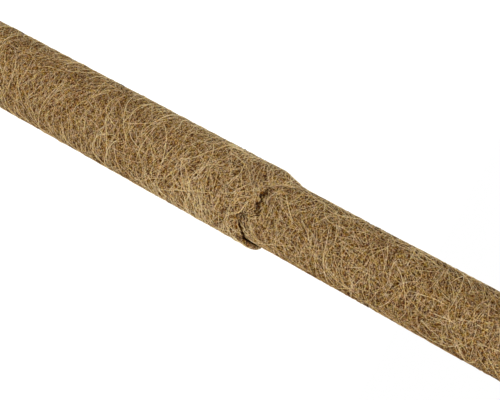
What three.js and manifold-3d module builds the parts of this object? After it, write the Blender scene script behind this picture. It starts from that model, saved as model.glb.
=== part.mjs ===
// A moss pole in two sections, in millimetres: a coir-wrapped tube that stands in the soil, and a slimmer coir-wrapped
// tube whose bare end drops into it. +Z runs up the pole. The origin is on its axis at the soil line, where the coir
// of the lower section begins.
import * as THREE from "three";
import { mergeVertices } from "three/addons/utils/BufferGeometryUtils.js";
import Module from "manifold-3d";

// Tubes
const upperTubeDiameter = 20;
const upperTubeWall = 1.5;
const upperTubeLength = 380;
const spigotLength = 80; // bare end of the upper tube, which stands in the lower one
const spigotChamfer = 0.9; // lead-in at the foot of the spigot
const lowerTubeWall = 1.5;
const lowerTubeLength = 380;
const footLength = 80; // bare end of the lower tube, below the soil line
const socketClearance = 1; // on the radius, between spigot and socket
const mouthChamfer = 0.7; // lead-in at the mouth of the socket
const edgeBreak = 0.3; // on every other edge of the tubes

// Coir mats, rolled round the tubes with a butt seam down the back
const coirThickness = 3.2;
const glueLine = 0.3; // between tube and mat
const matEdgeRound = 1.4;
const seamAngle = 90;
const seamHalfAngle = 11;
const seamDepth = 0.9;
const topFlush = 0.8; // the upper mat stands this much above the rim of its tube

// Collar: the lower mat runs on past the rim of its tube and closes over the foot of the upper mat. Its edge is uneven:
// a long tongue is drawn in tight on one side, a shorter lug lies opposite, and beside the lug the edge is torn back.
const collarReach = 8.5;
const collarClearance = 0.35; // on the radius, where the edge lies close
const lipThickness = 0.7;
const lipDraw = 3; // length over which the edge is rounded in
const lipRoundness = 2.4; // power of that curve, near a quarter round
const tongueReach = 7.3; // past the plain edge
const tongueLipThickness = 0.3;
const tongueDraw = 9;
const tongueRoundness = 1.2; // nearly a straight taper
const tongueAngle = 188;
const tongueHalfAngle = 34;
const tongueBlendAngle = 32; // angle over which the tongue runs out
const lugReach = 3.5;
const lugAngle = 10;
const lugHalfAngle = 26;
const lugBlendAngle = 20;
const notchDepth = 2.3;
const notchAngle = 300;
const notchHalfAngle = 12;
const notchBlendAngle = 12;
const gapeDepth = 1.5; // on the radius, where the edge stands off the upper mat in two places
const frontGapeAngle = 258;
const frontGapeHalfAngle = 14;
const sideGapeAngle = 310;
const sideGapeHalfAngle = 24;
const sideGapeDrop = 1.4; // the edge lies this much lower there
const gapeBlendAngle = 14;

// Moulded inserts: the spike in the foot of the lower tube and the plug in the top of the upper one
const insertClearance = 0.3; // on the radius, between lamella and bore
const insertWall = 1.8;
const lamellaDepth = 0.9;
const lamellaHeight = 1.2;
const lamellaCount = 3;
const spikeStemLength = 24;
const spikeFlangeHeight = 3;
const spikeLength = 40; // from the tube's foot to the tip
const spikeFinThickness = 3.2;
const spikeTipWidth = 3;
const plugStemLength = 15;
const plugHeadHeight = 3;
const plugHeadRound = 2;

const seatGap = 0.3; // between faces that rest on each other
const roundSegments = 60;
const lipSteps = 5;

// Sizes that follow
const upperTubeRadius = upperTubeDiameter / 2;
const upperBoreRadius = upperTubeRadius - upperTubeWall;
const lowerBoreRadius = upperTubeRadius + socketClearance;
const lowerTubeRadius = lowerBoreRadius + lowerTubeWall;
const upperMatInner = upperTubeRadius + glueLine;
const upperMatOuter = upperMatInner + coirThickness;
const lowerMatInner = lowerTubeRadius + glueLine;
const lowerMatOuter = lowerMatInner + coirThickness;
const rimHeight = lowerTubeLength - footLength;
const upperCoirLength = upperTubeLength - spigotLength;

const { clamp, degToRad, lerp, smoothstep } = THREE.MathUtils;

const wasm = await Module();
wasm.setup();

const materials = {
  tube: new THREE.MeshStandardMaterial({ color: 0x333436, roughness: 0.45, metalness: 0 }),
  coir: new THREE.MeshStandardMaterial({ color: 0x8f7350, roughness: 0.95, metalness: 0 }),
  insert: new THREE.MeshStandardMaterial({ color: 0x26241f, roughness: 0.5, metalness: 0 }),
};

function named(name, geometry, material) {
  const mesh = new THREE.Mesh(geometry, material);
  mesh.name = name;
  return mesh;
}

// A solid of revolution about Z from a closed outline of [radius, height] points, counterclockwise.
function revolved(outline) {
  const points = [...outline, outline[0]].map(([r, z]) => new THREE.Vector2(r, z));
  return new THREE.LatheGeometry(points, roundSegments).rotateX(Math.PI / 2);
}

// A ring whose closed outline of [radius, height] points changes with the angle round Z.
function lofted(outlineAt) {
  const rings = Array.from({ length: roundSegments }, (_, i) => outlineAt((360 / roundSegments) * i));
  const count = rings[0].length;
  const positions = rings.flatMap((ring, i) => {
    const angle = degToRad((360 / roundSegments) * i);
    return ring.flatMap(([r, z]) => [r * Math.cos(angle), r * Math.sin(angle), z]);
  });
  const index = [];
  for (let i = 0; i < roundSegments; i++) {
    const ring = i * count;
    const nextRing = ((i + 1) % roundSegments) * count;
    for (let j = 0; j < count; j++) {
      const k = (j + 1) % count;
      index.push(ring + j, nextRing + j, ring + k, nextRing + j, nextRing + k, ring + k);
    }
  }
  const geometry = new THREE.BufferGeometry();
  geometry.setAttribute("position", new THREE.Float32BufferAttribute(positions, 3));
  geometry.setIndex(index);
  return geometry;
}

function solidOf(geometry) {
  const bare = geometry.clone();
  bare.deleteAttribute("normal");
  bare.deleteAttribute("uv");
  const merged = mergeVertices(bare);
  const vertProperties = merged.attributes.position.array;
  const triVerts = new Uint32Array(merged.index.array);
  return new wasm.Manifold(new wasm.Mesh({ numProp: 3, vertProperties, triVerts }));
}

function joined(...geometries) {
  const { vertProperties, triVerts } = geometries
    .map(solidOf)
    .reduce((whole, piece) => whole.add(piece))
    .getMesh();
  const geometry = new THREE.BufferGeometry();
  geometry.setAttribute("position", new THREE.BufferAttribute(new Float32Array(vertProperties), 3));
  geometry.setIndex(new THREE.BufferAttribute(new Uint32Array(triVerts), 1));
  return geometry;
}

// Outline of a tube wall. Each edge is broken by its own chamfer.
function tubeOutline({ outer, inner, bottom, top, outerFoot, innerTop }) {
  const widest = (outer - inner) / 2.5;
  const foot = Math.min(outerFoot, widest);
  const mouth = Math.min(innerTop, widest);
  const plain = Math.min(edgeBreak, widest);
  return [
    [outer - foot, bottom],
    [outer, bottom + foot],
    [outer, top - plain],
    [outer - plain, top],
    [inner + mouth, top],
    [inner, top - mouth],
    [inner, bottom + plain],
    [inner + plain, bottom],
  ];
}

function lowerTube() {
  const outline = tubeOutline({
    outer: lowerTubeRadius,
    inner: lowerBoreRadius,
    bottom: -footLength,
    top: rimHeight,
    outerFoot: edgeBreak,
    innerTop: mouthChamfer,
  });
  return named("lower_tube", revolved(outline), materials.tube);
}

// Heights in the upper section are counted from the foot of its mat.
function upperTube() {
  const outline = tubeOutline({
    outer: upperTubeRadius,
    inner: upperBoreRadius,
    bottom: -spigotLength,
    top: upperCoirLength,
    outerFoot: spigotChamfer,
    innerTop: edgeBreak,
  });
  return named("upper_tube", revolved(outline), materials.tube);
}

// 1 near the centre angle, falling to 0 over a blend that is halfway at the half angle.
function spread(angle, centre, half, blend) {
  const away = Math.abs(((angle - centre + 540) % 360) - 180);
  return 1 - smoothstep(away, half - blend / 2, half + blend / 2);
}

// Depth of the groove where the two edges of a rolled mat meet.
function seamAt(angle) {
  const away = Math.abs(angle - seamAngle);
  return seamDepth * clamp(1 - away / seamHalfAngle, 0, 1);
}

function upperMat() {
  const top = upperCoirLength + topFlush;
  const round = Math.min(matEdgeRound, coirThickness / 2);
  const shoulder = round * (1 - Math.SQRT1_2);
  const outline = (angle) => {
    const outer = upperMatOuter - seamAt(angle);
    return [
      [outer - round, 0],
      [outer - shoulder, shoulder],
      [outer, round],
      [outer, top - round],
      [outer - shoulder, top - shoulder],
      [outer - round, top],
      [upperMatInner, top],
      [upperMatInner, 0],
    ];
  };
  return named("upper_coir_mat", lofted(outline), materials.coir);
}

function lowerMat() {
  const round = Math.min(matEdgeRound, coirThickness / 2);
  const shoulder = round * (1 - Math.SQRT1_2);
  const outline = (angle) => {
    const tongue = spread(angle, tongueAngle, tongueHalfAngle, tongueBlendAngle);
    const lug = spread(angle, lugAngle, lugHalfAngle, lugBlendAngle);
    const notch = spread(angle, notchAngle, notchHalfAngle, notchBlendAngle);
    const frontGape = spread(angle, frontGapeAngle, frontGapeHalfAngle, gapeBlendAngle);
    const sideGape = spread(angle, sideGapeAngle, sideGapeHalfAngle, gapeBlendAngle);
    const outer = lowerMatOuter - seamAt(angle);
    const inner = upperMatOuter + collarClearance + gapeDepth * Math.max(frontGape, sideGape);
    const lip = inner + Math.min(lerp(lipThickness, tongueLipThickness, tongue), (outer - inner) / 2);
    const reach = collarReach + tongueReach * tongue + lugReach * lug;
    const edge = rimHeight + reach - notchDepth * notch - sideGapeDrop * sideGape;
    const draw = lerp(lipDraw, tongueDraw, tongue);
    const roundness = lerp(lipRoundness, tongueRoundness, tongue);
    const lipCurve = Array.from({ length: lipSteps }, (_, i) => {
      const along = (i + 1) / lipSteps;
      return [lip + (outer - lip) * (1 - along ** roundness), edge - draw * (1 - along)];
    });
    return [
      [outer - round, 0],
      [outer - shoulder, shoulder],
      [outer, round],
      [outer, edge - draw],
      ...lipCurve,
      [inner, edge - (lip - inner) / 2],
      [inner, rimHeight + seatGap],
      [lowerMatInner, rimHeight],
      [lowerMatInner, 0],
    ];
  };
  return named("lower_coir_mat", lofted(outline), materials.coir);
}

// Outer edge of an insert's stem, from its closed end: a core with lamellae that grip the bore.
function lamellae(boreRadius, from, towards, length) {
  const tip = boreRadius - insertClearance;
  const core = tip - lamellaDepth;
  const pitch = length / lamellaCount;
  return Array.from({ length: lamellaCount }, (_, i) => {
    const start = from + towards * pitch * (i + 0.5);
    return [
      [core, start],
      [tip, start],
      [core, start + towards * lamellaHeight],
    ];
  }).flat();
}

function groundSpike() {
  const foot = -footLength - seatGap;
  const flangeBottom = foot - spikeFlangeHeight;
  const stemTop = foot + spikeStemLength;
  const core = lowerBoreRadius - insertClearance - lamellaDepth;
  const hollow = core - insertWall;
  const stem = revolved([
    [0, flangeBottom],
    [lowerTubeRadius - edgeBreak, flangeBottom],
    [lowerTubeRadius, flangeBottom + edgeBreak],
    [lowerTubeRadius, foot],
    [core, foot],
    ...lamellae(lowerBoreRadius, foot, 1, spikeStemLength),
    [core, stemTop],
    [hollow, stemTop],
    [hollow, foot],
    [0, foot],
  ]);
  const tip = -footLength - spikeLength;
  const finRoot = lowerTubeRadius - edgeBreak;
  const shape = new THREE.Shape();
  const sunk = flangeBottom + spikeFlangeHeight / 2; // the fins run into the flange
  shape.moveTo(-finRoot, sunk);
  shape.lineTo(-finRoot, flangeBottom);
  shape.quadraticCurveTo(-finRoot * 0.8, (flangeBottom + tip) / 2, -spikeTipWidth / 2, tip);
  shape.lineTo(spikeTipWidth / 2, tip);
  shape.quadraticCurveTo(finRoot * 0.8, (flangeBottom + tip) / 2, finRoot, flangeBottom);
  shape.lineTo(finRoot, sunk);
  const fin = new THREE.ExtrudeGeometry(shape, { depth: spikeFinThickness, bevelEnabled: false, curveSegments: 6 });
  fin.translate(0, 0, -spikeFinThickness / 2).rotateX(Math.PI / 2);
  const crossFin = fin.clone().rotateZ(Math.PI / 2);
  return named("ground_spike", joined(stem, fin, crossFin), materials.insert);
}

function topPlug() {
  const seat = upperCoirLength + seatGap;
  const stemFoot = seat - plugStemLength;
  const core = upperBoreRadius - insertClearance - lamellaDepth;
  const hollow = core - insertWall;
  const round = Math.min(plugHeadRound, plugHeadHeight);
  const top = seat + plugHeadHeight;
  const edge = [0, 1, 2, 3].map((i) => {
    const turn = (Math.PI / 6) * i;
    return [upperTubeRadius - round * (1 - Math.cos(turn)), top - round * (1 - Math.sin(turn))];
  });
  const outline = [
    [hollow, stemFoot],
    [core, stemFoot],
    ...lamellae(upperBoreRadius, seat, -1, plugStemLength).reverse(),
    [core, seat],
    [upperTubeRadius, seat],
    ...edge,
    [0, top],
    [0, seat],
    [hollow, seat],
  ];
  return named("top_plug", revolved(outline), materials.insert);
}

const lowerSection = new THREE.Group();
lowerSection.add(lowerTube(), lowerMat(), groundSpike());

const upperSection = new THREE.Group();
upperSection.add(upperTube(), upperMat(), topPlug());
upperSection.position.z = rimHeight + seatGap;

const mossPole = new THREE.Group();
mossPole.add(lowerSection, upperSection);

export default mossPole;
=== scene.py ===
import math

import bpy
import numpy as np
from mathutils import Matrix, Vector


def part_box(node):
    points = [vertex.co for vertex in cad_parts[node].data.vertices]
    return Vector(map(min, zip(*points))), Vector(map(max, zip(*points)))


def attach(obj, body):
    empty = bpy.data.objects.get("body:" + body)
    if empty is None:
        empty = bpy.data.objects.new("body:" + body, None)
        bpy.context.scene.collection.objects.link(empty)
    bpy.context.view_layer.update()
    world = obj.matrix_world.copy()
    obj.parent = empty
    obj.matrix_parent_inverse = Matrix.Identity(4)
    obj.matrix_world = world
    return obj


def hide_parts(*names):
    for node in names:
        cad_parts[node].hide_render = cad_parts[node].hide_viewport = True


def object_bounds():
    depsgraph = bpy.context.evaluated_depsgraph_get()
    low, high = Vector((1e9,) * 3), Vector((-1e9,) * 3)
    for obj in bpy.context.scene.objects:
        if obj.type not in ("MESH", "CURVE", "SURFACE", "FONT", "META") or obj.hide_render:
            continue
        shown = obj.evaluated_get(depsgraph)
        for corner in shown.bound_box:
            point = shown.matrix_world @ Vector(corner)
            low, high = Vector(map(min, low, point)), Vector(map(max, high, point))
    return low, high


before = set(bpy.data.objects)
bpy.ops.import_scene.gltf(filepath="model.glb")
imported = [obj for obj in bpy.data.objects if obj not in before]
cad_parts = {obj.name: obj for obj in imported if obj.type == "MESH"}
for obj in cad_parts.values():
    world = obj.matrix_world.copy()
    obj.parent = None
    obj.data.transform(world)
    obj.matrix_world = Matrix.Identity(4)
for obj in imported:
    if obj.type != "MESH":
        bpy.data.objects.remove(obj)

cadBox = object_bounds()
mm = 0.001

# Camera: looks down on the joint from the -Y side, rolled so that the slim section runs to the lower right
cameraSpot = {
    "elevation": 20.0,
    "roll": 118.6,
    "distance": 377.5 * mm,
    "aimHeight": 299.8 * mm,
    "lens": 72.1,
    "sensor": 36.0,
    "clip": (0.01, 100.0),
}


def placeCamera(spot):
    # forward tips down by the elevation, and right and up turn about it by the roll
    down = math.radians(spot["elevation"])
    roll = math.radians(spot["roll"])
    forward = Vector((0, math.cos(down), -math.sin(down)))
    levelUp = Vector((0, math.sin(down), math.cos(down)))
    levelRight = Vector((1, 0, 0))
    right = levelRight * math.cos(roll) + levelUp * math.sin(roll)
    up = levelUp * math.cos(roll) - levelRight * math.sin(roll)
    lensData = bpy.data.cameras.new("poleCamera")
    lensData.lens = spot["lens"]
    lensData.sensor_fit = "HORIZONTAL"
    lensData.sensor_width = spot["sensor"]
    lensData.clip_start, lensData.clip_end = spot["clip"]
    camera = bpy.data.objects.new("poleCamera", lensData)
    turn = Matrix((right, up, -forward)).transposed().to_4x4()
    place = Vector((0, 0, spot["aimHeight"])) - forward * spot["distance"]
    camera.matrix_world = Matrix.Translation(place) @ turn
    bpy.context.scene.collection.objects.link(camera)
    bpy.context.scene.camera = camera


placeCamera(cameraSpot)
print("camera placed")


# Node helpers
def newMaterial(name):
    made = bpy.data.materials.new(name)
    made.use_nodes = True
    made.node_tree.nodes.clear()
    return made


def addNode(tree, kind, values=None, **settings):
    node = tree.nodes.new(kind)
    for key, value in settings.items():
        setattr(node, key, value)
    for key, value in (values or {}).items():
        node.inputs[key].default_value = value
    return node


def remap(tree, source=(0, 1), target=(0, 1), **settings):
    values = {"From Min": source[0], "From Max": source[1], "To Min": target[0], "To Max": target[1]}
    return addNode(tree, "ShaderNodeMapRange", values, **settings)


def about(middle, width):
    return middle - width / 2, middle + width / 2


def ramp(tree, stops):
    node = tree.nodes.new("ShaderNodeValToRGB")
    elements = node.color_ramp.elements
    while len(elements) < len(stops):
        elements.new(0.5)
    for element, (place, colour) in zip(elements, stops):
        element.position = place
        element.color = (*colour, 1)
    return node


def finishMaterial(made, shader):
    out = addNode(made.node_tree, "ShaderNodeOutputMaterial")
    made.node_tree.links.new(shader.outputs[0], out.inputs["Surface"])
    return made


def newGroup(name, inputs, outputs):
    group = bpy.data.node_groups.new(name, "ShaderNodeTree")
    for label, kind, value in inputs:
        socket = group.interface.new_socket(label, in_out="INPUT", socket_type=kind)
        if value is not None:
            socket.default_value = value
    for label, kind in outputs:
        group.interface.new_socket(label, in_out="OUTPUT", socket_type=kind)
    entry = group.nodes.new("NodeGroupInput")
    leave = group.nodes.new("NodeGroupOutput")
    return group, entry, leave


def useGroup(tree, group, values):
    return addNode(tree, "ShaderNodeGroup", values, node_tree=group)


# Coir finish
coirColours = {  # tone and colour, darkest first
    "pit": (0.0, (0.034, 0.011, 0.002)),
    "dark": (0.22, (0.145, 0.058, 0.010)),
    "brown": (0.48, (0.336, 0.191, 0.071)),
    "gold": (0.74, (0.566, 0.388, 0.166)),
    "straw": (1.0, (0.800, 0.648, 0.378)),
}
coirGrain = {
    "patchDepth": 0.2,  # change of tone over slow patches of the wall
    "patchScale": 30.0,
    "speckDepth": 0.75,  # painted shade in gaps between fibres too fine to model
    "speckSize": 0.5 * mm,
    "speckCrests": (0.52, 0.66),
    "hueSize": 1.3 * mm,  # spots that are redder, yellower or greyer
    "hueTurn": 0.07,
    "hueRichness": 0.75,
    "rough": (0.85, 0.55),  # where darkest and where palest
}


def coirTintGroup():
    # tone 0 to 1 runs from pit to straw; one noise shifts it along a strand and a slow one over patches,
    # the crests of a fine one are dark specks of painted shade between fibres, fewer where the tone is
    # bright, and two channels of the last turn the hue and change its richness
    look = coirGrain
    group, entry, leave = newGroup(
        "coirTint",
        [
            ("Tone", "NodeSocketFloat", 0.5),
            ("Drift", "NodeSocketFloat", 0.2),
            ("Scale", "NodeSocketFloat", 160.0),
        ],
        [("Color", "NodeSocketColor"), ("Roughness", "NodeSocketFloat")],
    )
    place = addNode(group, "ShaderNodeTexCoord")
    noise = addNode(group, "ShaderNodeTexNoise", {"Detail": 3.0, "Roughness": 0.6})
    centred = addNode(group, "ShaderNodeMath", {1: 0.5}, operation="SUBTRACT")
    shift = addNode(group, "ShaderNodeMath", operation="MULTIPLY_ADD")
    slowValues = {"Scale": look["patchScale"], "Detail": 1.0, "Roughness": 0.4}
    slow = addNode(group, "ShaderNodeTexNoise", slowValues)
    slowCentred = addNode(group, "ShaderNodeMath", {1: 0.5}, operation="SUBTRACT")
    patched = addNode(group, "ShaderNodeMath", {1: look["patchDepth"]}, operation="MULTIPLY_ADD")
    fine = addNode(group, "ShaderNodeTexNoise", {"Scale": 1 / look["speckSize"], "Detail": 1.0})
    crest = remap(group, look["speckCrests"])
    spare = addNode(group, "ShaderNodeMath", {0: 1.0}, operation="SUBTRACT")
    speck = addNode(group, "ShaderNodeMath", operation="MULTIPLY")
    deep = addNode(group, "ShaderNodeMath", {1: look["speckDepth"]}, operation="MULTIPLY")
    specked = addNode(group, "ShaderNodeMath", operation="SUBTRACT")
    tint = ramp(group, list(coirColours.values()))
    spots = addNode(group, "ShaderNodeTexNoise", {"Scale": 1 / look["hueSize"], "Detail": 1.0})
    channels = addNode(group, "ShaderNodeSeparateColor")
    turn = remap(group, target=about(0.5, look["hueTurn"]), clamp=False)
    rich = remap(group, target=about(1, look["hueRichness"]), clamp=False)
    hued = addNode(group, "ShaderNodeHueSaturation")
    rough = remap(group, target=look["rough"])
    join = group.links.new
    join(place.outputs["Object"], noise.inputs["Vector"])
    join(entry.outputs["Scale"], noise.inputs["Scale"])
    join(noise.outputs["Fac"], centred.inputs[0])
    join(centred.outputs[0], shift.inputs[0])
    join(entry.outputs["Drift"], shift.inputs[1])
    join(entry.outputs["Tone"], shift.inputs[2])
    join(place.outputs["Object"], slow.inputs["Vector"])
    join(slow.outputs["Fac"], slowCentred.inputs[0])
    join(slowCentred.outputs[0], patched.inputs[0])
    join(shift.outputs[0], patched.inputs[2])
    join(place.outputs["Object"], fine.inputs["Vector"])
    join(fine.outputs["Fac"], crest.inputs["Value"])
    join(entry.outputs["Tone"], spare.inputs[1])
    join(crest.outputs["Result"], speck.inputs[0])
    join(spare.outputs[0], speck.inputs[1])
    join(speck.outputs[0], deep.inputs[0])
    join(patched.outputs[0], specked.inputs[0])
    join(deep.outputs[0], specked.inputs[1])
    join(specked.outputs[0], tint.inputs["Fac"])
    join(specked.outputs[0], rough.inputs["Value"])
    join(place.outputs["Object"], spots.inputs["Vector"])
    join(spots.outputs["Color"], channels.inputs["Color"])
    join(channels.outputs["Red"], turn.inputs["Value"])
    join(channels.outputs["Green"], rich.inputs["Value"])
    join(turn.outputs["Result"], hued.inputs["Hue"])
    join(rich.outputs["Result"], hued.inputs["Saturation"])
    join(tint.outputs["Color"], hued.inputs["Color"])
    join(hued.outputs["Color"], leave.inputs["Color"])
    join(rough.outputs["Result"], leave.inputs["Roughness"])
    return group


coirTint = coirTintGroup()

strandLook = {
    "drift": 1.1,  # change of tone along a strand, and how fine it is
    "driftScale": 1700.0,
    "specular": 0.15,
}


def coirStrandMaterial():
    # the tone is an attribute of each strand
    look = strandLook
    made = newMaterial("coirStrand")
    tree = made.node_tree
    tone = addNode(tree, "ShaderNodeAttribute", attribute_name="tone")
    tint = useGroup(tree, coirTint, {"Drift": look["drift"], "Scale": look["driftScale"]})
    shader = addNode(tree, "ShaderNodeBsdfPrincipled", {"Specular IOR Level": look["specular"]})
    tree.links.new(tone.outputs["Fac"], tint.inputs["Tone"])
    tree.links.new(tint.outputs["Color"], shader.inputs["Base Color"])
    tree.links.new(tint.outputs["Roughness"], shader.inputs["Roughness"])
    return finishMaterial(made, shader)


feltLook = {
    "slants": (15, 55, 90, 125, 165),  # degrees from the pole's length, on the unrolled wall
    "fibre": (0.34 * mm, 1.2 * mm),  # width and length of one streak
    "crests": (0.55, 0.72),
    "tone": (0.02, 0.88),
    "pit": 1.2 * mm,
    "pitTroughs": (0.26, 0.36),
    "bump": 0.8,
    "relief": 0.35 * mm,
    "drift": 1.1,
    "driftScale": 1700.0,
    "specular": 0.05,
}


def coirFeltMaterial():
    # the highest of several stretched noises at set slants stands for short fibres too small to model, and
    # the troughs of a round one are pits of painted shade
    look = feltLook
    made = newMaterial("coirFelt")
    tree = made.node_tree
    join = tree.links.new
    unrolled = addNode(tree, "ShaderNodeUVMap", uv_map="unrolled")
    streaks = None
    for slant in look["slants"]:
        turned = addNode(
            tree,
            "ShaderNodeMapping",
            {"Rotation": (0, 0, -math.radians(slant)), "Scale": (*look["fibre"], 1)},
            vector_type="TEXTURE",
        )
        fibre = addNode(tree, "ShaderNodeTexNoise", {"Scale": 1.0, "Detail": 2.0, "Distortion": 0.3})
        join(unrolled.outputs["UV"], turned.inputs["Vector"])
        join(turned.outputs["Vector"], fibre.inputs["Vector"])
        if streaks is None:
            streaks = fibre.outputs["Fac"]
        else:
            larger = addNode(tree, "ShaderNodeMath", operation="MAXIMUM")
            join(streaks, larger.inputs[0])
            join(fibre.outputs["Fac"], larger.inputs[1])
            streaks = larger.outputs[0]
    tone = remap(tree, look["crests"], look["tone"])
    holes = addNode(tree, "ShaderNodeTexNoise", {"Scale": 1 / look["pit"], "Detail": 1.0})
    sunk = remap(tree, look["pitTroughs"])
    pitted = addNode(tree, "ShaderNodeMath", operation="MULTIPLY")
    # the shade attribute darkens the felt with painted shade under the collar's edge
    shade = addNode(tree, "ShaderNodeAttribute", attribute_name="shade")
    shaded = addNode(tree, "ShaderNodeMath", operation="MULTIPLY")
    tint = useGroup(tree, coirTint, {"Drift": look["drift"], "Scale": look["driftScale"]})
    bump = addNode(tree, "ShaderNodeBump", {"Strength": look["bump"], "Distance": look["relief"]})
    shader = addNode(tree, "ShaderNodeBsdfPrincipled", {"Specular IOR Level": look["specular"]})
    join(unrolled.outputs["UV"], holes.inputs["Vector"])
    join(holes.outputs["Fac"], sunk.inputs["Value"])
    join(streaks, tone.inputs["Value"])
    join(tone.outputs["Result"], pitted.inputs[0])
    join(sunk.outputs["Result"], pitted.inputs[1])
    join(pitted.outputs[0], shaded.inputs[0])
    join(shade.outputs["Fac"], shaded.inputs[1])
    join(shaded.outputs[0], tint.inputs["Tone"])
    join(streaks, bump.inputs["Height"])
    join(tint.outputs["Color"], shader.inputs["Base Color"])
    join(tint.outputs["Roughness"], shader.inputs["Roughness"])
    join(bump.outputs["Normal"], shader.inputs["Normal"])
    return finishMaterial(made, shader)


coirStrand = coirStrandMaterial()
coirFelt = coirFeltMaterial()

# Plastic finishes
handledLook = {
    "scuffs": (0.5, 0.72),
    "cloudScale": 45.0,
    "grime": (0.42, 0.75),
    "bump": 0.35,
    "specular": 0.45,
}


def handledGroup():
    # scuffs are the crests of a stretched noise, grime is a soft cloud; both return 0 to 1
    group, entry, leave = newGroup(
        "handledPlastic",
        [("Stretch", "NodeSocketVector", None)],
        [("Scuff", "NodeSocketFloat"), ("Grime", "NodeSocketFloat")],
    )
    place = addNode(group, "ShaderNodeTexCoord")
    stretched = addNode(group, "ShaderNodeVectorMath", operation="MULTIPLY")
    scratch = addNode(group, "ShaderNodeTexNoise", {"Scale": 1.0, "Detail": 4.0, "Roughness": 0.7})
    crest = remap(group, handledLook["scuffs"])
    cloudValues = {"Scale": handledLook["cloudScale"], "Detail": 5.0, "Roughness": 0.65}
    cloud = addNode(group, "ShaderNodeTexNoise", cloudValues)
    soft = remap(group, handledLook["grime"])
    join = group.links.new
    join(place.outputs["Object"], stretched.inputs[0])
    join(entry.outputs["Stretch"], stretched.inputs[1])
    join(stretched.outputs[0], scratch.inputs["Vector"])
    join(scratch.outputs["Fac"], crest.inputs["Value"])
    join(place.outputs["Object"], cloud.inputs["Vector"])
    join(cloud.outputs["Fac"], soft.inputs["Value"])
    join(crest.outputs["Result"], leave.inputs["Scuff"])
    join(soft.outputs["Result"], leave.inputs["Grime"])
    return group


handledPlastic = handledGroup()


def plasticMaterial(name, look):
    # scuffs lighten and roughen the plastic and stand up a little, and grime lies over both
    made = newMaterial(name)
    tree = made.node_tree
    join = tree.links.new
    marks = useGroup(tree, handledPlastic, {"Stretch": look["stretch"]})
    wornColours = {"A": (*look["colour"], 1), "B": (*look["scuffed"], 1)}
    worn = addNode(tree, "ShaderNodeMix", wornColours, data_type="RGBA")
    soiled = addNode(tree, "ShaderNodeMix", {"B": (*look["soiled"], 1)}, data_type="RGBA")
    part = addNode(tree, "ShaderNodeMath", {1: look["soil"]}, operation="MULTIPLY")
    rough = remap(tree, target=look["rough"])
    bump = addNode(tree, "ShaderNodeBump", {"Strength": handledLook["bump"], "Distance": look["relief"]})
    shader = addNode(tree, "ShaderNodeBsdfPrincipled", {"Specular IOR Level": handledLook["specular"]})
    join(marks.outputs["Scuff"], worn.inputs["Factor"])
    join(worn.outputs["Result"], soiled.inputs["A"])
    join(marks.outputs["Grime"], part.inputs[0])
    join(part.outputs[0], soiled.inputs["Factor"])
    join(soiled.outputs["Result"], shader.inputs["Base Color"])
    join(marks.outputs["Scuff"], rough.inputs["Value"])
    join(rough.outputs["Result"], shader.inputs["Roughness"])
    join(marks.outputs["Scuff"], bump.inputs["Height"])
    join(bump.outputs["Normal"], shader.inputs["Normal"])
    return finishMaterial(made, shader)


tubeLook = {
    "colour": (0.040, 0.041, 0.043),
    "scuffed": (0.085, 0.086, 0.088),
    "soiled": (0.090, 0.075, 0.055),
    "soil": 0.5,
    "stretch": (900.0, 900.0, 14.0),  # extrusion lines run along the tube
    "rough": (0.36, 0.52),
    "relief": 0.05 * mm,
}
insertLook = {
    "colour": (0.022, 0.021, 0.019),
    "scuffed": (0.050, 0.048, 0.044),
    "soiled": (0.075, 0.058, 0.040),
    "soil": 0.45,
    "stretch": (1100.0, 1100.0, 1100.0),  # fine moulded grain
    "rough": (0.42, 0.62),
    "relief": 0.04 * mm,
}
tubePlastic = plasticMaterial("tubePlastic", tubeLook)
insertPlastic = plasticMaterial("insertPlastic", insertLook)
plasticFinishes = {
    "lower_tube": tubePlastic,
    "upper_tube": tubePlastic,
    "ground_spike": insertPlastic,
    "top_plug": insertPlastic,
}
for node, finish in plasticFinishes.items():
    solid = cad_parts[node]
    solid.data.materials.clear()
    solid.data.materials.append(finish)
print("materials made")


# Mesh helpers
def makePiece(name, points, quads, triangles, material, body):
    loops = np.concatenate([quads.ravel(), triangles.ravel()]).astype(np.int32)
    starts = np.concatenate(
        [4 * np.arange(len(quads)), 4 * len(quads) + 3 * np.arange(len(triangles))]
    ).astype(np.int32)
    meshData = bpy.data.meshes.new(name)
    meshData.vertices.add(len(points))
    meshData.vertices.foreach_set("co", points.astype(np.float32).ravel())
    meshData.loops.add(len(loops))
    meshData.loops.foreach_set("vertex_index", loops)
    meshData.polygons.add(len(starts))
    meshData.polygons.foreach_set("loop_start", starts)
    meshData.polygons.foreach_set("use_smooth", np.ones(len(starts), bool))
    meshData.update(calc_edges=True)
    meshData.validate()
    meshData.materials.append(material)
    piece = bpy.data.objects.new(name, meshData)
    bpy.context.scene.collection.objects.link(piece)
    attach(piece, body)
    return piece


def setUv(piece, name, uv):
    layer = piece.data.uv_layers.new(name=name)
    layer.data.foreach_set("uv", uv.astype(np.float32).ravel())


def setValues(piece, name, values):
    held = piece.data.attributes.new(name, "FLOAT", "POINT")
    held.data.foreach_set("value", values.astype(np.float32).ravel())


# Walls of the two wraps. Angles are in degrees from +X; the camera stands at 270.
# A place round the pole is its centre angle, half angle and blend.
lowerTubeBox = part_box("lower_tube")
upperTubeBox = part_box("upper_tube")
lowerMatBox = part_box("lower_coir_mat")
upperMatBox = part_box("upper_coir_mat")
glueLine = 0.3 * mm

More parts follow.
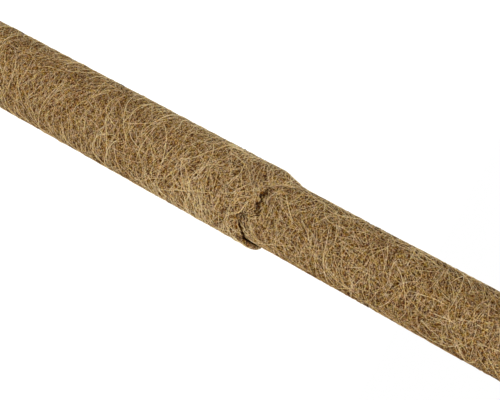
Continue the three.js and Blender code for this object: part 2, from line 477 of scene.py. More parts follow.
lowerWrap = {
    "radius": lowerMatBox[1].x,
    "bore": lowerTubeBox[1].x + glueLine,
    "foot": lowerMatBox[0].z,
    "rim": lowerTubeBox[1].z,
    "seam": 90,
    "seamDepth": 0.9 * mm,
    "seamHalf": 11,
    "collarReach": 8.5 * mm,
    "collarGap": 0.25 * mm,
    "tear": 0.45 * mm,  # unevenness of the torn edge
    "tearTurns": (9, 44),
    "tearWaves": 14,
    "tearSeed": 3,
    "lip": 0.45 * mm,
    "lipDraw": 2 * mm,
    "lipRoundness": 3,
    "tongue": (188, 34, 32),
    "tongueThin": (200, 38, 12),  # where the lip is thin and lies close
    "tongueReach": 7.3 * mm,
    "tongueLip": 0.05 * mm,
    "tongueGap": 0.02 * mm,
    "tongueDraw": 9 * mm,
    "tongueRoundness": 1.2,
    "lug": (14, 24, 20),
    "lugReach": 2.7 * mm,
    "notch": (302, 13, 12),
    "notchDepth": 1.8 * mm,
    "sideDrop": (316, 28, 12),  # where the edge is torn back
    "sideDropDepth": 2.4 * mm,
    "frontGape": (264, 22, 10),  # where the edge stands off
    "frontGapeDepth": 0.9 * mm,
    "sideGape": (328, 22, 20),
    "sideGapeDepth": 0.75 * mm,
    "bridge": (284, 9, 10),  # where loose strands cross from the collar to the upper wrap
    "fray": 0.3 * mm,  # how far strands may run past the edge
    "tongueFray": 2.5 * mm,
    "bridgeFray": 4 * mm,
    "looseFall": 1.5 * mm,  # length over which loose ends come down past the edge
    "looseLift": 0.1 * mm,
}
upperWrap = {
    "radius": upperMatBox[1].x,
    "bore": upperTubeBox[1].x + glueLine,
    "foot": upperMatBox[0].z,
    "top": upperMatBox[1].z,
    "seam": 90,
    "seamDepth": 0.9 * mm,
    "seamHalf": 11,
    "edgeRound": 1.4 * mm,
    "fray": 0.5 * mm,
    "unbleachedPast": 0.1 * mm,  # how far the painted shade under the collar shows past its edge
    "unbleachedGape": 0.5 * mm,  # how much more at the front gape
    "unbleachedSide": 0.5,  # share of that at the side drop
    "unbleachedBlend": 0.7 * mm,
    "unbleachedFelt": 0.95,  # share of the felt's tone that is lost there to painted shade
}


def eased(t):
    t = np.clip(t, 0, 1)
    return t * t * (3 - 2 * t)


def mixed(first, second, share):
    return first + (second - first) * share


def angleAway(angle, centre):
    return np.abs((angle - centre + 180) % 360 - 180)


def spread(angle, centre, half, blend):
    # 1 within half of the centre angle, easing to 0 over the blend
    return eased((half + blend / 2 - angleAway(angle, centre)) / blend)


def seamGroove(wrap, angle):
    # a V that is deepest on the seam line
    return wrap["seamDepth"] * np.clip(1 - angleAway(angle, wrap["seam"]) / wrap["seamHalf"], 0, 1)


def tornEdge(angle):
    # sum of sine waves round the pole, each with a whole number of turns
    rng = np.random.default_rng(lowerWrap["tearSeed"])
    waves = lowerWrap["tearWaves"]
    turns = rng.integers(*lowerWrap["tearTurns"], waves)
    phase = rng.uniform(0, 2 * np.pi, waves)
    return sum(np.sin(n * np.radians(angle) + p) for n, p in zip(turns, phase)) / math.sqrt(waves / 2)


def collarShape(angle):
    # height of the lip, the length over which the wall is drawn in below it, its inner and outer radius,
    # and the power of its taper
    wrap = lowerWrap
    tongue = spread(angle, *wrap["tongue"])
    lug = spread(angle, *wrap["lug"])
    notch = spread(angle, *wrap["notch"])
    drop = spread(angle, *wrap["sideDrop"])
    gape = wrap["frontGapeDepth"] * spread(angle, *wrap["frontGape"])
    gape = np.maximum(gape, wrap["sideGapeDepth"] * spread(angle, *wrap["sideGape"]))
    full = wrap["radius"] - seamGroove(wrap, angle)
    reach = wrap["collarReach"] + wrap["tongueReach"] * tongue + wrap["lugReach"] * lug
    edge = wrap["rim"] + reach - wrap["notchDepth"] * notch - wrap["sideDropDepth"] * drop
    edge = edge + wrap["tear"] * tornEdge(angle)
    thin = spread(angle, *wrap["tongueThin"])
    draw = mixed(wrap["lipDraw"], wrap["tongueDraw"], thin)
    inner = upperWrap["radius"] + mixed(wrap["collarGap"], wrap["tongueGap"], thin) + gape
    lip = inner + np.minimum(mixed(wrap["lip"], wrap["tongueLip"], thin), (full - inner) / 2)
    return edge, draw, inner, lip, mixed(wrap["lipRoundness"], wrap["tongueRoundness"], thin)


def lowerSkin(angle, height):
    # radius of the lower wrap's outer face: full up to the draw, then closing on the lip by a power of the
    # way up, and past the edge falling to the upper wrap's face, where loose ends lie
    edge, draw, _, lip, power = collarShape(angle)
    full = lowerWrap["radius"] - seamGroove(lowerWrap, angle)
    up = np.clip((height - edge + draw) / draw, 0, 1)
    past = np.clip((height - edge) / lowerWrap["looseFall"], 0, 1)
    rest = upperWrap["radius"] + lowerWrap["looseLift"]
    return lip + (full - lip) * (1 - up ** power) + (rest - lip) * past


def paintedCollarShade(angle, height):
    # painted shade: 1 where the collar covers the upper wrap and its tone is darkened as if shaded, 0 from
    # just past the collar's edge and under the thin tongue
    side = upperWrap["unbleachedSide"] * spread(angle, *lowerWrap["sideDrop"])
    gape = np.maximum(spread(angle, *lowerWrap["frontGape"]), side)
    reach = collarShape(angle)[0] + upperWrap["unbleachedPast"] + upperWrap["unbleachedGape"] * gape
    covered = eased((reach - height) / upperWrap["unbleachedBlend"])
    return covered * (1 - spread(angle, *lowerWrap["tongueThin"]))


def upperSkin(angle, height):
    # radius of the upper wrap's outer face, with a quarter round at its top
    full = upperWrap["radius"] - seamGroove(upperWrap, angle)
    past = np.clip((height - upperWrap["top"]) / upperWrap["edgeRound"] + 1, 0, 1)
    return full - upperWrap["edgeRound"] * (1 - np.sqrt(1 - past ** 2))


def lowerCore(angle, height):
    # radius that the lower wrap may not go below: the tube under it, past its rim the collar's inside, and
    # past the collar's edge the upper wrap
    edge, _, inner, _, _ = collarShape(angle)
    inner = np.where(height > edge, upperWrap["radius"], inner)
    return np.where(height > lowerWrap["rim"], inner, lowerWrap["bore"])


def upperCore(angle, height):
    return np.full_like(height, upperWrap["bore"])


def lowerEnds(angle):
    return np.full_like(angle, lowerWrap["foot"]), collarShape(angle)[0]


def upperEnds(angle):
    return np.full_like(angle, upperWrap["foot"]), np.full_like(angle, upperWrap["top"])


def lowerFray(angle):
    # how far loose strands may run past the edge, most at the tongue and the bridge
    tongue = lowerWrap["tongueFray"] * spread(angle, *lowerWrap["tongue"])
    bridge = lowerWrap["bridgeFray"] * spread(angle, *lowerWrap["bridge"])
    return lowerWrap["fray"] + tongue + bridge


def upperFray(angle):
    return np.full_like(angle, upperWrap["fray"])


lowerWall = {
    "wrap": lowerWrap,
    "skin": lowerSkin,
    "core": lowerCore,
    "ends": lowerEnds,
    "fray": lowerFray,
    "body": "lower_section",
}
upperWall = {
    "wrap": upperWrap,
    "skin": upperSkin,
    "core": upperCore,
    "ends": upperEnds,
    "fray": upperFray,
    "body": "upper_section",
}


rippleTurns = (-9, 10)


def ripples(angle, height, seed, waves, length, rise):
    # sum of sine waves on the unrolled wall, each with whole turns round the pole so that the wall closes
    rng = np.random.default_rng(seed)
    turns = rng.integers(*rippleTurns, waves)
    rate = 2 * np.pi / rng.uniform(*length, waves)
    phase = rng.uniform(0, 2 * np.pi, waves)
    total = np.zeros(np.broadcast(angle, height).shape)
    for n, k, p in zip(turns, rate, phase):
        total = total + np.sin(n * np.radians(angle) + k * height + p)
    return rise * total / math.sqrt(waves)


# Felt: the body of each mat, a closed shell under the modelled strands
feltBody = {
    "around": 360,
    "along": 110,
    "edgeSteps": 40,  # finer stations where the two wraps meet
    "edgeRun": 17 * mm,
    "collarSteps": 6,  # stations down inside the collar
    "collarStart": 0.1,  # share of the way down at the first of them
    "boreSteps": 12,
    "inset": 0.35 * mm,  # below the outer face, where the strands begin
    "setback": 0.3 * mm,  # of the felt's ends behind the ends of the wall
    "lipWall": 0.15 * mm,  # least wall at the collar, before and after the ripples
    "leastWall": 0.1 * mm,
    "rippleRise": 0.06 * mm,
    "rippleLength": (5 * mm, 30 * mm),
    "rippleWaves": 30,
    "lowerSeed": 5,
    "upperSeed": 6,
    "closingRun": 3 * mm,  # length on the map of the faces that join the last station to the first
}
feltAngles = 360 * np.arange(feltBody["around"])[:, None] / feltBody["around"]


def closedRing(name, radius, height, shade, body):
    # radius, height and shade are grids of angle by station, and the last station joins the first
    around, stations = radius.shape
    turn = 2 * np.pi * np.arange(around) / around
    points = np.stack(
        [radius * np.cos(turn)[:, None], radius * np.sin(turn)[:, None], height], axis=-1
    ).reshape(-1, 3)
    i, j = np.meshgrid(np.arange(around), np.arange(stations), indexing="ij")
    iNext = (i + 1) % around
    jNext = (j + 1) % stations
    quads = np.stack(
        [i * stations + j, iNext * stations + j, iNext * stations + jNext, i * stations + jNext], axis=-1
    ).reshape(-1, 4)
    piece = makePiece(name, points, quads, np.zeros((0, 3), int), coirFelt, body)
    run = np.concatenate([[0], np.cumsum(np.hypot(np.diff(radius[0]), np.diff(height[0])))])
    run = np.append(run, run[-1] + feltBody["closingRun"])
    girth = turn[1] * radius.max()
    uv = np.stack(
        [
            np.stack([i * girth, (i + 1) * girth, (i + 1) * girth, i * girth], axis=-1),
            np.stack([run[j], run[j], run[j + 1], run[j + 1]], axis=-1),
        ],
        axis=-1,
    )
    setUv(piece, "unrolled", uv)
    setValues(piece, "shade", shade)
    return piece


def feltStations(joint, far):
    # heights from each angle's own edge at the joint to the far end, closer together near the joint
    fine = np.linspace(0, 1, feltBody["edgeSteps"] + 1)[None, :-1]
    coarse = np.linspace(0, 1, feltBody["along"])[None, :]
    run = feltBody["edgeRun"] * np.sign(far - joint)
    return np.concatenate([joint + run * fine, joint + run + (far - joint - run) * coarse], axis=1)


def feltRipples(height, seed):
    body = feltBody
    return ripples(feltAngles, height, seed, body["rippleWaves"], body["rippleLength"], body["rippleRise"])


def feltBore(wrap, top):
    # heights and radii of the stations down the bore, the same at every angle
    stations = np.linspace(top, wrap["foot"], feltBody["boreSteps"])
    height = np.tile(stations, (feltBody["around"], 1))
    return height, np.full(height.shape, wrap["bore"])


def lowerFelt():
    # stations run up the outer face, over the lip, down inside the collar to the rim, and down the bore
    edge, _, inner, _, _ = collarShape(feltAngles)
    lip = edge - feltBody["setback"]
    height = feltStations(lip, lowerWrap["foot"])[:, ::-1]
    skin = np.maximum(lowerSkin(feltAngles, height) - feltBody["inset"], inner + feltBody["lipWall"])
    skin = np.maximum(skin + feltRipples(height, feltBody["lowerSeed"]), inner + feltBody["leastWall"])
    down = np.linspace(feltBody["collarStart"], 1, feltBody["collarSteps"])[None, :]
    collarHeight = mixed(lip, lowerWrap["rim"] + feltBody["setback"], down)
    collar = np.broadcast_to(inner, collarHeight.shape)
    boreHeight, bore = feltBore(lowerWrap, lowerWrap["rim"])
    radius = np.concatenate([skin, collar, bore], axis=1)
    height = np.concatenate([height, collarHeight, boreHeight], axis=1)
    return closedRing("lower_coir_felt", radius, height, np.ones(height.shape), "lower_section")


def upperFelt():
    # stations run up the outer face and down the bore
    top = upperWrap["top"] - feltBody["setback"]
    height = feltStations(np.full_like(feltAngles, upperWrap["foot"]), top)
    skin = upperSkin(feltAngles, height) - feltBody["inset"]
    skin = skin + feltRipples(height, feltBody["upperSeed"])
    boreHeight, bore = feltBore(upperWrap, top)
    radius = np.concatenate([skin, bore], axis=1)
    height = np.concatenate([height, boreHeight], axis=1)
    # painted shade under the collar's edge
    shade = 1 - upperWrap["unbleachedFelt"] * paintedCollarShade(feltAngles, height)
    return closedRing("upper_coir_felt", radius, height, shade, "upper_section")


lowerFeltPiece = lowerFelt()
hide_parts("lower_coir_mat")
upperFeltPiece = upperFelt()
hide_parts("upper_coir_mat")
print("felt made")

# Strands: thin three-sided tubes that lie on the wall
strandForm = {
    "sides": 3,
    "steps": 48,  # of a course before it is cut to the wall
    "leastSteps": 6,  # a course cut shorter than this is left out
    "jitter": 0.35,  # of the starting spots, as a share of their spacing
    "leastHeave": 0.3,
    "endThin": 0.45,  # share of the thickness lost at the ends
    "wallKept": 0.1 * mm,  # layers close up where the wall, less this, is thinner than wallFull
    "wallFull": 0.35 * mm,
    "leastRoom": 0.3,
    "seat": 0.6,  # least distance of a strand's middle from the core, as a share of its thickness
    "tones": (0.02, 0.98),
}
uvStrip = {"columns": 4, "endMargin": 0.02, "sideMargin": 0.2, "cap": 0.1}


def evenSpots(count, rng):
    # two running sums of irrational steps fill the unit square without clumps
    number = np.arange(count)[:, None]
    steps = np.array([[0.7548776662, 0.5698402910]])
    start = rng.random((1, 2))
    stray = rng.normal(0, strandForm["jitter"], (count, 2)) / math.sqrt(count)
    return (start + number * steps + stray) % 1


def courseRun(layer, rng):
    # distance from the middle of each course, at even steps
    steps = np.linspace(-0.5, 0.5, strandForm["steps"] + 1)[None, :]
    return steps * rng.uniform(*layer["length"], (layer["count"], 1))


def courseSway(layer, run, rng):
    # a sine along each course, with its own size, wavelength and phase
    count = layer["count"]
    size = rng.normal(0, layer["sway"], (count, 1))
    rate = 2 * np.pi / rng.uniform(*layer["swayLength"], (count, 1))
    phase = rng.uniform(0, 2 * np.pi, (count, 1))
    return size * np.sin(rate * run + phase)


def wallCourses(layer, wall, rng):
    # on the unrolled wall a heading turns at a steady rate with a sway, and the course is its running sum
    count = layer["count"]
    run = courseRun(layer, rng)
    spot = evenSpots(count, rng)
    lowest, highest = (v[0] for v in wall["ends"](np.zeros(1)))
    room = layer["length"][1] / 3  # courses that start past an end are cut there
    startAngle = 360 * spot[:, :1]
    startHeight = lowest - room + (highest - lowest + 2 * room) * spot[:, 1:]
    flowSeed = layer["seed"] // 10  # neighbouring layers share their flow
    flow = ripples(
        startAngle, startHeight, flowSeed, layer["flowWaves"], layer["flowLength"], layer["flowTurn"]
    )
    lean = layer["lean"] + flow + rng.normal(0, layer["leanSpread"], (count, 1))
    lean = np.where(rng.random((count, 1)) < layer["anyWay"], rng.uniform(0, 180, (count, 1)), lean)
    bend = rng.normal(0, layer["bend"], (count, 1))
    heading = np.radians(lean) + bend * run + courseSway(layer, run, rng)
    step = run[:, 1:2] - run[:, :1]
    across = np.cumsum(np.sin(heading), axis=1) * step
    along = np.cumsum(np.cos(heading), axis=1) * step
    middle = strandForm["steps"] // 2
    angle = startAngle + np.degrees((across - across[:, middle : middle + 1]) / wall["wrap"]["radius"])
    return angle, startHeight + along - along[:, middle : middle + 1], run


def edgeCourses(layer, wall, rng):
    # follows the collar's edge round the pole at a distance below it, with a sway along the pole
    count = layer["count"]
    run = courseRun(layer, rng)
    first, last = layer["angles"]
    spot = evenSpots(count, rng)[:, :1]
    angle = mixed(first, last, spot) + np.degrees(run / wall["wrap"]["radius"])
    below = mixed(*layer["below"], rng.random((count, 1)) ** layer["belowPower"])
    drift = rng.normal(0, layer["drift"], (count, 1)) * run
    sway = layer["swayReach"] * courseSway(layer, run, rng)
    return angle, collarShape(angle % 360)[0] - below + drift + sway, run


def cutCourses(angle, height, wall, layer, rng):
    # keeps the run of each course that lies between the wall's ends and nearest its middle, at even steps
    count, fine = angle.shape
    low, high = wall["ends"](angle % 360)
    spill = wall["fray"](angle % 360) * rng.random((count, 1)) ** 2
    inside = (height > low - spill) & (height < high + spill)
    index = np.arange(fine)[None, :]
    reach = np.where(inside, np.abs(index - fine // 2), fine * 2)
    core = np.argmin(reach, axis=1)[:, None]
    first = np.where(~inside & (index < core), index, -1).max(axis=1) + 1
    last = np.where(~inside & (index > core), index, fine).min(axis=1) - 1
    keep = (reach.min(axis=1) < fine) & (last - first >= strandForm["leastSteps"])
    place = first[:, None] + (last - first)[:, None] * np.linspace(0, 1, layer["rings"] + 1)[None, :]
    return keep, place


def atPlaces(values, place):
    # straight-line reading of each row at its own fractional places
    left = np.clip(np.floor(place).astype(int), 0, values.shape[1] - 2)
    part = place - left
    before = np.take_along_axis(values, left, 1)
    after = np.take_along_axis(values, left + 1, 1)
    return before * (1 - part) + after * part


def unit(vectors):
    # scaled to length 1; the tiny length added keeps it from dividing by 0
    return vectors / (np.linalg.norm(vectors, axis=2, keepdims=True) + 1e-12)


def strandTubes(centre, outward, thickness):
    # a ring of sides about each point of a course, in the plane of its outward normal and cross direction
    along = unit(np.gradient(centre, axis=1))
    cross = unit(np.cross(along, outward))
    raised = np.cross(cross, along)
    turn = 2 * np.pi * np.arange(strandForm["sides"]) / strandForm["sides"]
    ring = (
        raised[:, :, None, :] * np.cos(turn)[None, None, :, None]
        + cross[:, :, None, :] * np.sin(turn)[None, None, :, None]
    )
    return centre[:, :, None, :] + ring * (thickness / 2)[:, :, None, None]


def strandFaces(count, rings):
    # quads along each tube and one cap at each end
    sides = strandForm["sides"]
    m, j, k = np.meshgrid(np.arange(count), np.arange(rings), np.arange(sides), indexing="ij")
    kNext = (k + 1) % sides
    base = m * (rings + 1) * sides
    quads = np.stack(
        [
            base + j * sides + k,
            base + j * sides + kNext,
            base + (j + 1) * sides + kNext,
            base + (j + 1) * sides + k,
        ],
        axis=-1,
    ).reshape(-1, 4)
    starts = np.arange(count) * (rings + 1) * sides
    near = starts[:, None] + np.array([2, 1, 0])[None, :]
    far = starts[:, None] + rings * sides + np.array([0, 1, 2])[None, :]
    return quads, np.concatenate([near, far])


def strandUv(count, rings):
    # each strand has its own thin strip of the map: along it by length, with its sides stacked in the strip
    sides = strandForm["sides"]
    columns = uvStrip["columns"]
    end, side = uvStrip["endMargin"], uvStrip["sideMargin"]
    rows = math.ceil(count / columns)
    m, j, k = np.meshgrid(np.arange(count), np.arange(rings), np.arange(sides), indexing="ij")
    u0, u1 = ((m % columns + mixed(end, 1 - end, n / rings)) / columns for n in (j, j + 1))
    v0, v1 = ((m // columns + mixed(side, 1 - side, n / sides)) / rows for n in (k, k + 1))
    quadUv = np.stack(
        [np.stack([u0, u0, u1, u1], axis=-1), np.stack([v0, v1, v1, v0], axis=-1)], axis=-1
    ).reshape(-1, 2)
    number = np.arange(count)
    capV = (number // columns + 0.5) / rows
    sliver = uvStrip["cap"] / rows
    caps = []
    for margin in (end, 1 - end):
        capU = (number % columns + margin) / columns
        cap = np.stack([np.stack([capU, capV + sliver * s], axis=-1) for s in (-1, 0, 1)], axis=1)
        caps.append(cap.reshape(-1, 2))
    return np.concatenate([quadUv, *caps])


def strandLayer(layer, wall):
    # each strand lies at its own depth under the skin and weaves over and under by a sine along its run;
    # towards its ends it sinks by the fifth power of the way from its middle and thins by the fourth
    rng = np.random.default_rng(layer["seed"])
    angle, height, run = layer["courses"](layer, wall, rng)
    keep, place = cutCourses(angle, height, wall, layer, rng)
    count = layer["count"]
    rings = layer["rings"]
    way = np.abs(np.linspace(-1, 1, rings + 1))[None, :]
    run = atPlaces(run, place)
    heave = rng.uniform(strandForm["leastHeave"], 1, (count, 1)) * layer["heave"]
    heaveRate = 2 * np.pi / rng.uniform(*layer["heaveLength"], (count, 1))
    heavePhase = rng.uniform(0, 2 * np.pi, (count, 1))
    depth = rng.uniform(*layer["depth"], (count, 1)) + heave * np.sin(heaveRate * run + heavePhase)
    depth = depth - layer["tuck"] * way ** 5
    thick = rng.uniform(*layer["thickness"], (count, 1)) * (1 - strandForm["endThin"] * way ** 4)
    # painted shade: a strand is darker where it lies deeper, as if shaded by those above
    tone = rng.normal(*layer["tone"], (count, 1)) + layer["shade"] * (depth - np.mean(layer["depth"])) / mm
    angle = atPlaces(angle, place)[keep]
    height = atPlaces(height, place)[keep]
    # painted shade on the upper wrap under the collar's edge
    tone = tone[keep] - layer["covered"] * paintedCollarShade(angle % 360, height)
    # painted light near the joint and painted shade towards the far ends, where the light falls off
    tone = tone + np.interp(height - lowerWrap["rim"], *zip(*layer["fade"]))
    # painted shade on sides that get less light, and painted light where the amount is negative
    for amount, *side in layer["dusk"]:
        tone = tone - amount * spread(angle % 360, *side)
    thick = thick[keep]
    face = wall["skin"](angle % 360, height)
    core = wall["core"](angle % 360, height)
    room = (face - core - strandForm["wallKept"]) / strandForm["wallFull"]
    room = np.clip(room, strandForm["leastRoom"], 1)
    radius = np.maximum(face + depth[keep] * room, core + strandForm["seat"] * thick)
    turn = np.radians(angle)
    outward = np.stack([np.cos(turn), np.sin(turn), np.zeros_like(turn)], axis=-1)
    centre = np.stack([radius * np.cos(turn), radius * np.sin(turn), height], axis=-1)
    points = strandTubes(centre, outward, thick)
    made = len(points)
    quads, caps = strandFaces(made, rings)
    piece = makePiece(layer["name"], points.reshape(-1, 3), quads, caps, coirStrand, wall["body"])
    # painted highlight along each strand's top and painted shade down its flanks, for the shadow between
    # strands
    sides = tone[:, :, None] + np.array([layer["ridge"], -layer["flank"], -layer["flank"]])[None, None, :]
    setValues(piece, "tone", np.clip(sides, *strandForm["tones"]))
    setUv(piece, "OFBake", strandUv(made, rings))
    print(layer["name"], made, "strands", made * (6 * rings + 2), "triangles")
    return piece


noLengthShade = ((0.0, 0.0),)
strandDefaults = {
    "courses": wallCourses,
    "count": 5600,
    "rings": 5,
    "length": (4 * mm, 13 * mm),
    "thickness": (0.14 * mm, 0.22 * mm),
    "lean": 90,  # degrees from the pole's length
    "leanSpread": 28,
    "flowTurn": 24,  # degrees by which the lean wanders over the wall
    "flowLength": (20 * mm, 70 * mm),
    "flowWaves": 24,
    "anyWay": 0.15,  # share that lies in any direction
    "bend": 40,
    "sway": 0.15,
    "swayLength": (5 * mm, 14 * mm),
    "heave": 0.08 * mm,
    "heaveLength": (3 * mm, 8 * mm),
    "tuck": 0.3 * mm,  # how far the ends sink
    "shade": 1.0,  # painted shade: tone gained with each millimetre outwards, so deeper strands and their dips are darker
    "covered": 0.0,  # tone lost to painted shade under the collar
    "fade": noLengthShade,  # painted light and shade along the pole: heights from the lower tube's rim, each with the change of tone there
    "dusk": (),  # painted shade: how much darker some sides are where less light falls, each with its centre angle, half angle and blend; a negative amount is painted light
    "ridge": 0.14,  # painted highlight: tone gained along the top of a strand, and painted shade lost down its flanks
    "flank": 0.36,
}
weave = {"depth": (-0.34 * mm, -0.2 * mm), "tone": (0.68, 0.14)}
mesh = {
    "depth": (-0.28 * mm, -0.12 * mm),
    "tone": (0.74, 0.12),
    "count": 4800,
    "length": (5 * mm, 14 * mm),
    "thickness": (0.2 * mm, 0.26 * mm),
    "flank": 0.5,
}
# short dark strands are painted shade in the gaps between fibres
dark = {
    "depth": (-0.2 * mm, -0.08 * mm),
    "tone": (0.04, 0.03),
    "count": 11500,
    "rings": 2,
    "length": (0.5 * mm, 1.3 * mm),
    "thickness": (0.22 * mm, 0.36 * mm),
    "tuck": 0.05 * mm,
    "heave": 0.02 * mm,
    "fade": noLengthShade,
    "ridge": 0.0,
    "flank": 0.0,
}
net = {
    "depth": (-0.2 * mm, -0.07 * mm),
    "tone": (0.86, 0.10),
    "count": 3400,
    "rings": 7,
    "length": (6 * mm, 18 * mm),
    "thickness": (0.22 * mm, 0.3 * mm),
    "leanSpread": 22,
    "flank": 0.5,
}
long = {
    "depth": (-0.1 * mm, -0.02 * mm),
    "tone": (0.95, 0.06),
    "count": 340,
    "rings": 14,
    "length": (10 * mm, 30 * mm),
    "thickness": (0.28 * mm, 0.38 * mm),
    "leanSpread": 22,
    "bend": 60,
}
top = {
    "depth": (-0.07 * mm, 0.02 * mm),
    "tone": (0.97, 0.04),
    "count": 60,
    "rings": 30,
    "length": (22 * mm, 60 * mm),
    "thickness": (0.32 * mm, 0.42 * mm),
    "bend": 65,
    "heave": 0.1 * mm,
}
edge = {
    "courses": edgeCourses,
    "depth": (-0.2 * mm, 0.02 * mm),
    "tone": (0.80, 0.10),
    "count": 9,
    "angles": (208, 250),
    "rings": 10,
    "length": (6 * mm, 14 * mm),
    "thickness": (0.20 * mm, 0.30 * mm),
    "below": (0.2 * mm, 3 * mm),  # distance under the collar's edge
    "belowPower": 1.5,  # crowds strands towards the first of the two
    "drift": 0.15,
    "swayReach": 1.2 * mm,
}
# short dark strands along the collar's edge are painted shade in gaps of the loose fibres
pits = {
    **edge,
    "depth": (-0.08 * mm, 0.0 * mm),
    "tone": (0.03, 0.02),
    "rings": 4,
    "length": (0.8 * mm, 2.4 * mm),
    "thickness": (0.35 * mm, 0.6 * mm),
    "tuck": 0.05 * mm,
    "heave": 0.02 * mm,
    "ridge": 0.0,
    "flank": 0.0,
}
# wider dark strands are painted shade in hollows of the mat
hollows = {
    **dark,
    "depth": (-0.16 * mm, -0.08 * mm),
    "tone": (0.03, 0.02),
    "count": 90,
    "rings": 4,
    "length": (1.2 * mm, 2.8 * mm),
    "thickness": (0.4 * mm, 0.6 * mm),
}
lowerLayers = {
    "weave": weave,
    "mesh": mesh,
    "dark": dark,
    "net": net,
    "long": long,
    "top": top,
    "edge": edge,
    "pits": {**pits, "count": 5, "angles": (288, 300), "below": (0.3 * mm, 1.6 * mm)},
    "hollows": hollows,
}
upperLayers = {
    "weave": {**weave, "tone": (0.66, 0.14)},
    "mesh": {**mesh, "tone": (0.69, 0.12), "count": 4600},
    "dark": {
        **dark,
        "depth": (-0.18 * mm, -0.06 * mm),
        "count": 13800,
        "thickness": (0.21 * mm, 0.32 * mm),
    },
    "net": {
        **net,
        "depth": (-0.15 * mm, -0.04 * mm),
        "tone": (0.81, 0.06),
        "length": (5 * mm, 16 * mm),
        "thickness": (0.26 * mm, 0.32 * mm),
        "leanSpread": 32,
        "bend": 50,
        "sway": 0.08,
        "flank": 0.55,
    },
    "long": {**long, "count": 110, "leanSpread": 36, "sway": 0.08},
    "top": {**top, "count": 16},
    "edge": {
        **edge,
        "tone": (0.74, 0.1),
        "count": 14,
        "angles": (286, 340),
        "below": (-5 * mm, -0.8 * mm),
    },
    "pits": {
        **pits,
        "count": 18,
        "angles": (276, 328),
        "length": (0.8 * mm, 3 * mm),
        "below": (-3 * mm, -0.5 * mm),
    },
    "threads": {
        **edge,
        "tone": (0.75, 0.1),
        "count": 13,
        "angles": (290, 350),
        "length": (5 * mm, 12 * mm),
        "below": (-0.8 * mm, 0.3 * mm),
        "covered": 0.3,
    },
    "hollows": {
        **hollows,
        "count": 60,
        "length": (0.9 * mm, 2 * mm),
        "thickness": (0.36 * mm, 0.5 * mm),
    },
}
lowerLay = {
    "fade": ((-115 * mm, -0.12), (-5 * mm, 0.08)),
    "dusk": ((0.08, 233, 18, 34), (0.05, 0, 24, 24)),
}
upperLay = {
    "lean": 62,
    "leanSpread": 36,
    "anyWay": 0.25,
    "bend": 60,
    "covered": 0.9,
    "fade": ((70 * mm, 0.01), (115 * mm, -0.08)),
    "dusk": ((0.12, 0, 30, 44), (0.05, 0, 24, 24), (-0.04, 190, 22, 20)),
}


def wrapStrands(prefix, seed, layers, lay, wall):
    # one piece for each layer, with its own values over those of the wrap and the defaults
    pieces = []
    for number, (name, layer) in enumerate(layers.items()):
        values = {**strandDefaults, **lay, **layer, "name": prefix + name, "seed": seed + number}
        pieces.append(strandLayer(values, wall))
    return pieces


lowerStrands = wrapStrands("lower_coir_", 11, lowerLayers, lowerLay, lowerWall)
upperStrands = wrapStrands("upper_coir_", 21, upperLayers, upperLay, upperWall)
print("strands made")

# Stage: a pale floor, an even white surround and soft lamps
stageLook = {
    "floorSize": 6.0,
    "floorSteps": 8,
    "floorColour": (0.86, 0.86, 0.85),
    "floorShown": 0.6,  # share of the floor that shows as plain white to the camera
    "floorWhite": 1.3,
    "surround": 0.85,
}
lamps = {
    "keyLamp": {"place": (0.5, -1.5, 0.95), "size": 0.8, "power": 16.0, "colour": (1.0, 1.0, 1.0)},
    "fillLamp": {"place": (-1.4, -0.9, 0.7), "size": 1.0, "power": 1.8, "colour": (1.0, 1.0, 1.0)},
    "rimLamp": {"place": (-1.2, 1.0, 0.5), "size": 0.6, "power": 7.0, "colour": (0.8, 1.0, 1.05)},
}


def floorMaterial():
    # the camera sees part of the floor as plain white, so that its shadows stay faint
    made = newMaterial("paleFloor")
    tree = made.node_tree
    join = tree.links.new
    seen = addNode(tree, "ShaderNodeLightPath")
    plain = addNode(tree, "ShaderNodeBsdfDiffuse", {"Color": (*stageLook["floorColour"], 1)})
    whiteValues = {"Color": (1, 1, 1, 1), "Strength": stageLook["floorWhite"]}
    white = addNode(tree, "ShaderNodeEmission", whiteValues)
    share = addNode(tree, "ShaderNodeMath", {1: stageLook["floorShown"]}, operation="MULTIPLY")
    mix = addNode(tree, "ShaderNodeMixShader")
    join(seen.outputs["Is Camera Ray"], share.inputs[0])
    join(share.outputs[0], mix.inputs["Fac"])
    join(plain.outputs[0], mix.inputs[1])
    join(white.outputs[0], mix.inputs[2])
    return finishMaterial(made, mix)


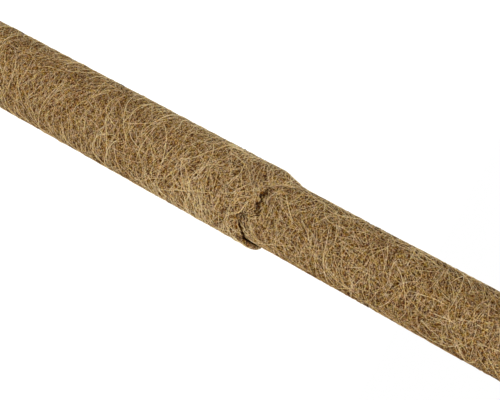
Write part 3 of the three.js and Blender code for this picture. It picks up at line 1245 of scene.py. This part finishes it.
def layFloor():
    # a flat square grid at the height of the spike's tip
    half = stageLook["floorSize"] / 2
    steps = stageLook["floorSteps"]
    row = steps + 1
    line = np.linspace(-half, half, row)
    x, y = np.meshgrid(line, line, indexing="ij")
    points = np.stack([x, y, np.full_like(x, cadBox[0].z)], axis=-1).reshape(-1, 3)
    i, j = np.meshgrid(np.arange(steps), np.arange(steps), indexing="ij")
    corner = i * row + j
    quads = np.stack([corner, corner + row, corner + row + 1, corner + 1], axis=-1).reshape(-1, 4)
    meshData = bpy.data.meshes.new("floor")
    meshData.from_pydata(points.tolist(), [], quads.tolist())
    meshData.materials.append(floorMaterial())
    floor = bpy.data.objects.new("floor", meshData)
    bpy.context.scene.collection.objects.link(floor)


def lightSurround():
    # camera, mirror and see-through rays meet plain white, and all others the surround's own strength
    world = bpy.data.worlds.new("surround")
    bpy.context.scene.world = world
    world.use_nodes = True
    tree = world.node_tree
    tree.nodes.clear()
    seen = addNode(tree, "ShaderNodeLightPath")
    clear = addNode(tree, "ShaderNodeMath", operation="MAXIMUM")
    either = addNode(tree, "ShaderNodeMath", operation="MAXIMUM")
    lit = addNode(tree, "ShaderNodeBackground", {"Color": (1, 1, 1, 1), "Strength": stageLook["surround"]})
    white = addNode(tree, "ShaderNodeBackground", {"Color": (1, 1, 1, 1), "Strength": 1.0})
    mix = addNode(tree, "ShaderNodeMixShader")
    out = addNode(tree, "ShaderNodeOutputWorld")
    join = tree.links.new
    join(seen.outputs["Is Camera Ray"], clear.inputs[0])
    join(seen.outputs["Is Transmission Ray"], clear.inputs[1])
    join(clear.outputs[0], either.inputs[0])
    join(seen.outputs["Is Glossy Ray"], either.inputs[1])
    join(either.outputs[0], mix.inputs["Fac"])
    join(lit.outputs[0], mix.inputs[1])
    join(white.outputs[0], mix.inputs[2])
    join(mix.outputs[0], out.inputs["Surface"])


def hangLamp(name, values, aim):
    lampData = bpy.data.lights.new(name, "AREA")
    lampData.shape = "DISK"
    lampData.size = values["size"]
    lampData.energy = values["power"]
    lampData.color = values["colour"]
    lamp = bpy.data.objects.new(name, lampData)
    turn = (Vector(aim) - Vector(values["place"])).to_track_quat("-Z", "Y").to_matrix().to_4x4()
    lamp.matrix_world = Matrix.Translation(values["place"]) @ turn
    bpy.context.scene.collection.objects.link(lamp)


layFloor()
lightSurround()
for lampName, lampValues in lamps.items():
    hangLamp(lampName, lampValues, (0, 0, cameraSpot["aimHeight"]))
bpy.context.scene.view_settings.view_transform = "Standard"
print("stage lit")
